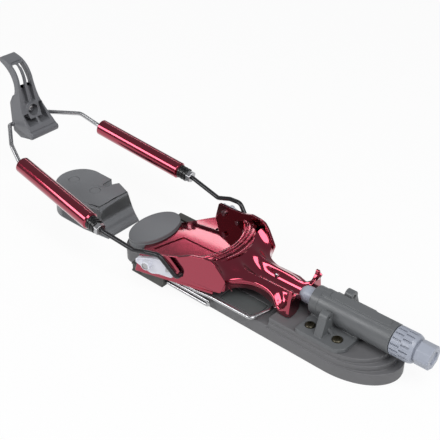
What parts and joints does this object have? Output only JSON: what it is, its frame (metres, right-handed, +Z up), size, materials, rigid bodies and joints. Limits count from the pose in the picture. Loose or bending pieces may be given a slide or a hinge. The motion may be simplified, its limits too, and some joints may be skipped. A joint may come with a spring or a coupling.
{
  "type": "touring binding",
  "caption": "Releasable telemark touring ski binding: toe plate on a sprung ball plunger, side spring cartridges, wire heel loop with lever, and a separate heel pad.",
  "frame": {"origin": "on the ski surface, on the centreline, a little ahead of the boot's toe", "axes": "+X to the ski tip, +Y to the skier's left, +Z up from the ski"},
  "size_m": [0.4741, 0.1274, 0.1345],
  "materials": {
    "red_anodised": "polished red anodised aluminium",
    "grey_moulding": "moulded glass-filled nylon, fine grain",
    "pad_grey": "smooth moulded polymer",
    "cast_grey": "satin grey casting",
    "dark_moulding": "dark moulded polymer",
    "knob_grey": "light grey acetal",
    "bright_steel": "bright stainless steel",
    "spring_steel": "oiled spring steel",
    "zinc_screw": "dark zinc plated screw",
    "brass": "turned brass",
    "cast_white": "bright bead-blasted casting",
    "black_steel": "gloss black coated steel",
    "black_moulding": "black moulded polymer"
  },
  "bodies": {
    "base": {"base_plate": "grey_moulding", "rear_pad": "pad_grey", "release_housing": "cast_grey", "housing_screws": "zinc_screw", "end_bush": "dark_moulding", "heel_pad": "pad_grey", "heel_pad_screws": "zinc_screw", "heel_pad_plugs": "pad_grey", "release_spring": "spring_steel"},
    "plunger": {"plunger": "knob_grey"},
    "preload_nut": {"preload_nut": "brass"},
    "knob": {"adjuster_spindle": "bright_steel", "adjuster_knob": "knob_grey", "adjuster_cap": "knob_grey"},
    "toe_plate": {"toe_plate": "red_anodised", "left_bracket": "cast_white", "right_bracket": "cast_white", "bracket_screws": "bright_steel", "bracket_nuts": "bright_steel", "bracket_rivets": "bright_steel"},
    "cable_frame": {"left_rod": "black_steel", "left_cartridge_tube": "red_anodised", "left_end_cap": "black_moulding", "left_lock_nut": "bright_steel", "left_cartridge_spring": "spring_steel", "right_rod": "black_steel", "right_cartridge_tube": "red_anodised", "right_end_cap": "black_moulding", "right_lock_nut": "bright_steel", "right_cartridge_spring": "spring_steel"},
    "heel_loop": {"heel_wire": "bright_steel", "left_piston": "bright_steel", "right_piston": "bright_steel"},
    "heel_lever": {"heel_lever": "grey_moulding", "lever_clamp": "grey_moulding", "lever_bolt": "bright_steel", "lever_bolt_nut": "bright_steel"},
    "tour_lock": {"lock_slider": "dark_moulding", "lock_bail_wire": "bright_steel", "lock_hairpins": "bright_steel"}
  },
  "joints": [
    {"name": "tour_pivot", "type": "hinge", "parent": "base", "child": "toe_plate", "pos_m": [0.051, 0, 0.0345], "axis": [0, 1, 0], "range_deg": [0, 60]},
    {"name": "cable_pivot", "type": "hinge", "parent": "toe_plate", "child": "cable_frame", "pos_m": [-0.047, 0, 0.029], "axis": [0, 1, 0], "range_deg": [0, 75]},
    {"name": "loop_stretch", "type": "slide", "parent": "cable_frame", "child": "heel_loop", "axis": [-0.9891, 0, 0.147], "range_m": [0, 0.012], "stiffness_N_per_m": 3000, "springref_m": -0.002, "deforming": ["left_cartridge_spring", "right_cartridge_spring"]},
    {"name": "lever_turn", "type": "hinge", "parent": "heel_loop", "child": "heel_lever", "pos_m": [-0.294, 0, 0.072], "axis": [0, 1, 0], "range_deg": [-60, 40]},
    {"name": "plunger_slide", "type": "slide", "parent": "base", "child": "plunger", "axis": [1, 0, 0], "range_m": [0, 0.006], "stiffness_N_per_m": 3000, "springref_m": -0.004, "deforming": ["release_spring"]},
    {"name": "knob_turn", "type": "hinge", "parent": "base", "child": "knob", "pos_m": [0.14, 0, 0.0345], "axis": [1, 0, 0], "range_deg": [-720, 720]},
    {"name": "nut_travel", "type": "slide", "parent": "base", "child": "preload_nut", "axis": [1, 0, 0], "range_m": [-0.00301, 0.00301]},
    {"name": "tour_lock_slide", "type": "slide", "parent": "base", "child": "tour_lock", "axis": [1, 0, 0], "range_m": [-0.007, 0.003]}
  ],
  "couplings": [
    {"joint": "nut_travel", "follows": "knob_turn", "m_per_rad": 0.00023873}
  ]
}
